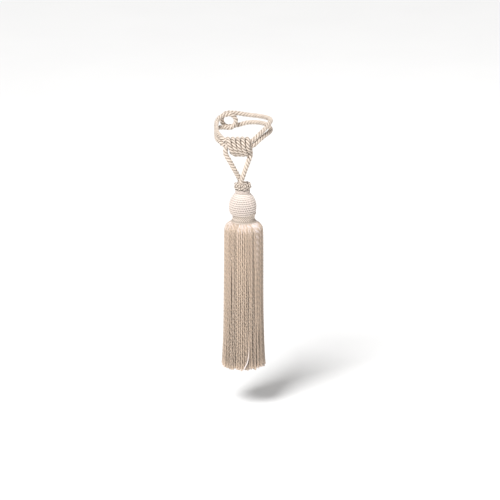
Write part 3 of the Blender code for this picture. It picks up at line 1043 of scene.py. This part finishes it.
# ------------------------------------------------------------------------------------------- skirt
@dataclass
class Skirt:
    """The fringed skirt: two-ply strands with looped ends, in rows one behind the other."""

    outer: int = 60                     # strands in the outermost row
    second: int = 54
    third: int = 60
    second_inset: float = 1.9 * MM      # how far the second row hangs inside the first
    third_inset: float = 4.6 * MM
    ply: float = 0.76 * MM              # radius of one of a strand's two threads
    ply_pitch: float = 8.4 * MM
    sway: float = 0.66 * MM             # how far a strand drifts sideways
    bulge: float = 0.30 * MM            # how far it drifts in and out
    crimp: float = 0.20 * MM            # how far it winds to and fro ...
    crimp_length: float = 11.0 * MM     # ... in each of these lengths
    jitter: float = 0.14                # how uneven the spaces between strands are
    ragged: float = 1.8 * MM            # how uneven their ends are
    seed: int = 21
    # depth below the skirt's top and radius, in mm: round shoulder, long fall, slight flare
    profile: tuple = ((-0.6, 12.6), (1.6, 16.2), (3.6, 19.6), (5.8, 22.7), (8.8, 25.0),
                      (14.2, 26.0), (26.0, 26.3), (70.0, 26.5), (120.0, 27.0), (165.0, 27.8),
                      (192.0, 28.8), (212.0, 29.7))
    # the stray strand: turn from the front in degrees, then, in mm, its height above the ends
    # and its reach past the skirt's radius
    stray_route: tuple = ((15.0, 60.0, -6.0), (14.6, 40.0, -2.6), (13.6, 26.0, -0.6),
                          (10.0, 14.0, 0.5), (4.6, 7.0, 0.6), (1.0, 2.6, 0.2))

    def __post_init__(self) -> None:
        """Measure the skirt and seed its small irregularities."""
        self.place = Upright.of("fringe_skirt")
        self.random = np.random.default_rng(self.seed)

    def outline(self, inset: float) -> Array:
        """Return the line that a strand follows, as radius and height.

        Args:
            inset: How far the row hangs inside the outermost one.

        Returns:
            Radius and height, one pair in each row.
        """
        depth, radius = (np.array(self.profile) * MM).T
        taper = np.clip((depth + 2.0 * MM) / (12.0 * MM), 0.15, 1.0)
        points = np.column_stack([radius - inset * taper, np.zeros(len(depth)),
                                  self.place.top - depth - inset * 0.5 * (1 - taper)])
        return smooth_path(points, 1.0 * MM)[:, [0, 2]]

    def wander(self, count: int, waves: int, size: float) -> Array:
        """Return a smooth random sideways drift.

        Args:
            count: How many points it has.
            waves: How many slow waves it is made of.
            size: Its greatest size, about.

        Returns:
            One number for each point, nothing at the top.
        """
        share = np.linspace(0.0, 1.0, count)
        drift = np.zeros(count)
        for wave in range(1, waves + 1):
            phase = self.random.uniform(0.0, TAU)
            drift += np.sin(share * math.pi * wave * 1.7 + phase) * self.random.normal() / wave
        return drift * size * share ** 0.6

    def strand_line(self, angle: float, inset: float, shorter: float, step: float,
                    loose: float = 1.0) -> tuple[Array, Array]:
        """Work out one strand's middle line.

        Args:
            angle: Its place round the skirt.
            inset: How far inside the outermost row it hangs.
            shorter: How much its end is above the skirt's lowest point.
            step: The distance between its points.
            loose: How freely it sways.

        Returns:
            The line, and the way out from the skirt at each of its points.
        """
        outline = self.outline(inset)
        travelled = distance_along(np.column_stack([outline, np.zeros(len(outline))]))
        length = travelled[-1] - shorter
        places = np.linspace(0.0, length, round(length / step))
        radius = np.interp(places, travelled, outline[:, 0])
        height = np.interp(places, travelled, outline[:, 1])
        count = len(places)
        sway = self.wander(count, 7, self.sway * loose)
        crimp = self.crimp * np.sin(TAU * places / self.crimp_length
                                    + self.random.uniform(0.0, TAU))
        turned = angle + (sway + crimp) / radius
        radius = radius + self.wander(count, 3, self.bulge * loose)
        line = self.place.ring(turned, radius, height)
        return line, self.place.outward(turned)

    def looped_strand(self, mesh: YarnMesh, line: Array, outward: Array, sides: int,
                      darker: float = 0.0) -> None:
        """Twist one thread back on itself along a line, so that its end is a small loop.

        Args:
            mesh: The mesh that gathers it.
            line: The strand's middle line, from top to bottom.
            outward: The way out from the skirt.
            sides: Points round the thread.
            darker: How much its tone is below the usual, as painted shade on rows that hang further
                in.
        """
        travelled = distance_along(line)
        angle = TAU * travelled / self.ply_pitch + self.random.uniform(0.0, TAU)
        along = tangents(line)
        side = unit(np.cross(along, outward))
        front = np.cross(side, along)
        spin = np.cos(angle)[:, None] * side + np.sin(angle)[:, None] * front
        near_end = np.clip(1.0 - (travelled[-1] - travelled) / (2.4 * MM), 0.0, 1.0)
        reach = (self.ply * (0.92 + 0.5 * near_end))[:, None]
        down, up = line + spin * reach, line - spin * reach
        bottom = line[-1] + along[-1] * self.ply * 1.3
        corner = along[-1] * self.ply * 0.9
        turn_in, turn_out = (ply[-1] * 0.75 + line[-1] * 0.25 + corner for ply in (down, up))
        path = np.vstack([down, turn_in, bottom, turn_out, up[::-1]])
        facing = np.vstack([outward, np.tile(outward[-1], (3, 1)), outward[::-1]])
        base = float(np.clip(self.random.normal(0.45, 0.21), 0.0, 0.9)) - darker
        # painted light: darker towards the bottom as painted shade, lighter over the shoulder and
        # at the looped end as painted highlights
        share = travelled / max(travelled[-1], 150.0 * MM)
        painted_tip_highlight = np.clip(1.0 - (travelled[-1] - travelled) / (9.0 * MM), 0.0, 1.0)
        painted_shoulder_light = np.clip((22.0 * MM - travelled) / (10.0 * MM), 0.0, 1.0)
        tone = base * (1.0 - 0.5 * painted_shoulder_light) + 0.30 - 0.66 * share + 0.85 * painted_tip_highlight + 0.62 * painted_shoulder_light
        lighter = 0.24 * (1.0 - painted_tip_highlight) * (1.0 - 0.7 * painted_shoulder_light)
        tone = np.concatenate([tone + lighter, tone[[-1, -1, -1]], (tone - lighter)[::-1]])
        mesh.strand(path, facing, self.ply, sides, tone, groove_span=(-1.2, 0.4))

    def row(self, name: str, count: int, inset: float, step: float, sides: int,
            part: slice) -> bpy.types.Object:
        """Hang one row of looped strands, or a part of it.

        Args:
            name: The piece's name.
            count: How many strands the whole row has.
            inset: How far inside the outermost row it hangs.
            step: The distance between a strand's points.
            sides: Points round a thread.
            part: Which strands of the row this piece holds.

        Returns:
            The piece.
        """
        mesh = YarnMesh(name, FRINGE_YARN, "fringe")
        for index in list(range(count))[part]:
            angle = TAU * (index + self.random.uniform(-self.jitter, self.jitter)) / count
            shorter = abs(self.random.normal(0.0, self.ragged)) + inset * 0.2
            depth = inset + self.random.uniform(0.0, 0.7 * MM)
            line, outward = self.strand_line(angle, depth, shorter, step)
            # painted shade: rows that hang further in are darker
            self.looped_strand(mesh, line, outward, sides, inset / (14.0 * MM))
        return mesh.build()

    def core(self) -> bpy.types.Object:
        """Fill the skirt: a third row of plain strands, painted nearly in the shade colour as shade
        inside the skirt, and the ends that show from below.

        Returns:
            The piece.
        """
        mesh = YarnMesh("fringe_skirt_core", FRINGE_YARN, "fringe")
        # painted shade: the third row is dark, standing for the shade inside the skirt
        for index in range(self.third):
            angle = TAU * (index + 0.5) / self.third
            line, outward = self.strand_line(angle, self.third_inset, 1.5 * MM, 3.0 * MM, 0.4)
            mesh.strand(line, outward, 1.35 * MM, 6, 0.15, groove_span=(0.2, 2.6))
        bottom = self.place.bottom
        for ring_radius in np.arange(2.0, 25.0, 2.6) * MM:
            around = max(5, round(TAU * ring_radius / (2.5 * MM)))
            for index in range(around):
                angle = TAU * (index + self.random.uniform(-0.2, 0.2)) / around
                drop = self.random.uniform(1.5, 5.0) * MM
                z = np.linspace(bottom + 34.0 * MM, bottom + drop, 9)
                turned = np.full(len(z), angle)
                radius = ring_radius * np.linspace(0.94, 1.0, len(z))
                line = self.place.ring(turned, radius, z)
                thick = 1.25 * MM * np.append(np.ones(len(z) - 2), (0.95, 0.55))
                mesh.strand(line, self.place.outward(turned, -0.6), thick, 6,
                            self.random.uniform(0.1, 0.6), groove_span=(-0.9, 1.6))
        return mesh.build("fringe_skirt")

    def stray(self) -> bpy.types.Object:
        """Lay the one strand that has strayed across the others near the bottom.

        Returns:
            The piece.
        """
        mesh = YarnMesh("fringe_stray_strand", FRINGE_YARN, "fringe")
        turn, rise, out = np.array(self.stray_route).T
        points = self.place.ring(np.radians(turn) - math.pi / 2, self.place.radius + out * MM,
                                 self.place.bottom + rise * MM)
        line = smooth_path(points, 1.2 * MM)
        outward = np.tile([0.0, -1.0, 0.0], (len(line), 1))
        thick = 0.85 * MM * np.minimum(1.0, 0.6 + np.arange(len(line))[::-1] * 0.25)
        # lighter towards its lower end; above a tone of 1 it turns to the painted highlight
        tone = np.linspace(0.7, 1.45, len(line))
        mesh.strand(line, outward, thick, 8, tone, lobes=2, lobe_depth=0.2, lobe_turns=120.0)
        return mesh.build()

    def build(self) -> list[bpy.types.Object]:
        """Hang the whole skirt.

        Returns:
            Its pieces.
        """
        made = [self.core()]
        for half in range(2):
            made.append(self.row(f"fringe_outer_{half + 1}", self.outer, 0.0, 1.2 * MM, 6,
                                 slice(half, None, 2)))
        made.append(self.row("fringe_inner", self.second, self.second_inset, 1.8 * MM, 5,
                             slice(None)))
        made.append(self.stray())
        return made


# ------------------------------------------------------------------------------------------ studio
@dataclass(frozen=True)
class Lamp:
    """One light that faces the middle of the view."""

    name: str
    kind: str                           # SUN or AREA
    place: tuple[float, float, float]   # from the middle of the view
    width: float                        # a sun's angle, or the side of an area light
    power: float

    def hang(self, middle: Vector) -> None:
        """Hang the light.

        Args:
            middle: The middle of the view.
        """
        data = bpy.data.lights.new(self.name, self.kind)
        data.energy = self.power
        setattr(data, "angle" if self.kind == "SUN" else "size", self.width)
        lamp = bpy.data.objects.new(self.name, data)
        lamp.location = middle + Vector(self.place)
        lamp.rotation_euler = (-Vector(self.place)).to_track_quat("-Z", "Y").to_euler()
        bpy.context.collection.objects.link(lamp)


@dataclass
class Studio:
    """The pale floor, the soft lights and the camera."""

    azimuth: float = 0.0
    elevation: float = 18.0
    lens: float = 300.0
    frame_width: float = 0.70           # width of the view at the tieback
    aim: tuple[float, float, float] = (29.8 * MM, -73.0 * MM, -167.9 * MM)
    lamps: tuple[Lamp, ...] = (
        Lamp("key", "SUN", (-0.75, -1.20, 1.70), math.radians(22.0), 3.7),
        Lamp("fill", "AREA", (0.3, -1.8, 0.5), 1.4, 13.0),
        Lamp("back", "AREA", (0.3, 1.2, 1.0), 0.8, 6.0))

    def build(self) -> None:
        """Set up the floor, the lights and the camera."""
        self._floor()
        for lamp in self.lamps:
            lamp.hang(Vector(self.aim))
        world = bpy.data.worlds.new("studio")
        world.use_nodes = True
        back = world.node_tree.nodes["Background"]
        back.inputs["Color"].default_value = (1.0, 0.985, 0.97, 1.0)
        back.inputs["Strength"].default_value = 0.32
        bpy.context.scene.world = world
        bpy.context.scene.view_settings.view_transform = "Standard"
        self._camera()

    @staticmethod
    def _floor() -> None:
        """Lay the floor some way under the tassel."""
        bpy.ops.object.select_all(action="DESELECT")
        bpy.ops.mesh.primitive_plane_add(size=8.0, location=(0.0, 0.0, CAD_LOW.z - 60 * MM))
        floor = bpy.context.object
        floor.name = "floor"
        board = Board("floor paint")
        place = board.node("ShaderNodeTexCoord", None, None, "Object")
        noise = board.node("ShaderNodeTexNoise", None, {"Vector": place, "Scale": 6.0})
        board.feed(board.shader.inputs["Base Color"],
                   board.mix(noise, (0.74, 0.74, 0.74), (0.77, 0.77, 0.77)))
        board.shader.inputs["Roughness"].default_value = 0.9
        floor.data.materials.append(board.material)

    def _camera(self) -> None:
        """Place the camera."""
        data = bpy.data.cameras.new("camera")
        data.lens = self.lens
        distance = self.frame_width / data.sensor_width * data.lens
        turn, tilt = math.radians(self.azimuth), math.radians(self.elevation)
        back = Vector((math.sin(turn) * math.cos(tilt), -math.cos(turn) * math.cos(tilt),
                       math.sin(tilt)))
        camera = bpy.data.objects.new("camera", data)
        camera.location = Vector(self.aim) + back * distance
        camera.rotation_euler = (-back).to_track_quat("-Z", "Y").to_euler()
        bpy.context.collection.objects.link(camera)
        bpy.context.scene.camera = camera


def report(step: str, pieces: list[bpy.types.Object]) -> None:
    """Log the pieces that a sub-assembly has made."""
    for piece in pieces:
        LOG.info("%s: %s, %d faces", step, piece.name, len(piece.data.polygons))


def main() -> None:
    """Build the tieback's looks, piece by piece, and the studio round it."""
    logging.basicConfig(level=logging.INFO, format="%(name)s %(message)s")
    Studio().build()
    report("arms", Arms().build())
    knot = Knot()
    report("knot", knot.build())
    report("legs", Legs().build(knot.middle))
    for step in (Ruff(), Neck(), Collar(), Ball(), Skirt()):
        report(type(step).__name__.lower(), step.build())


if __name__ == "__main__":
    main()
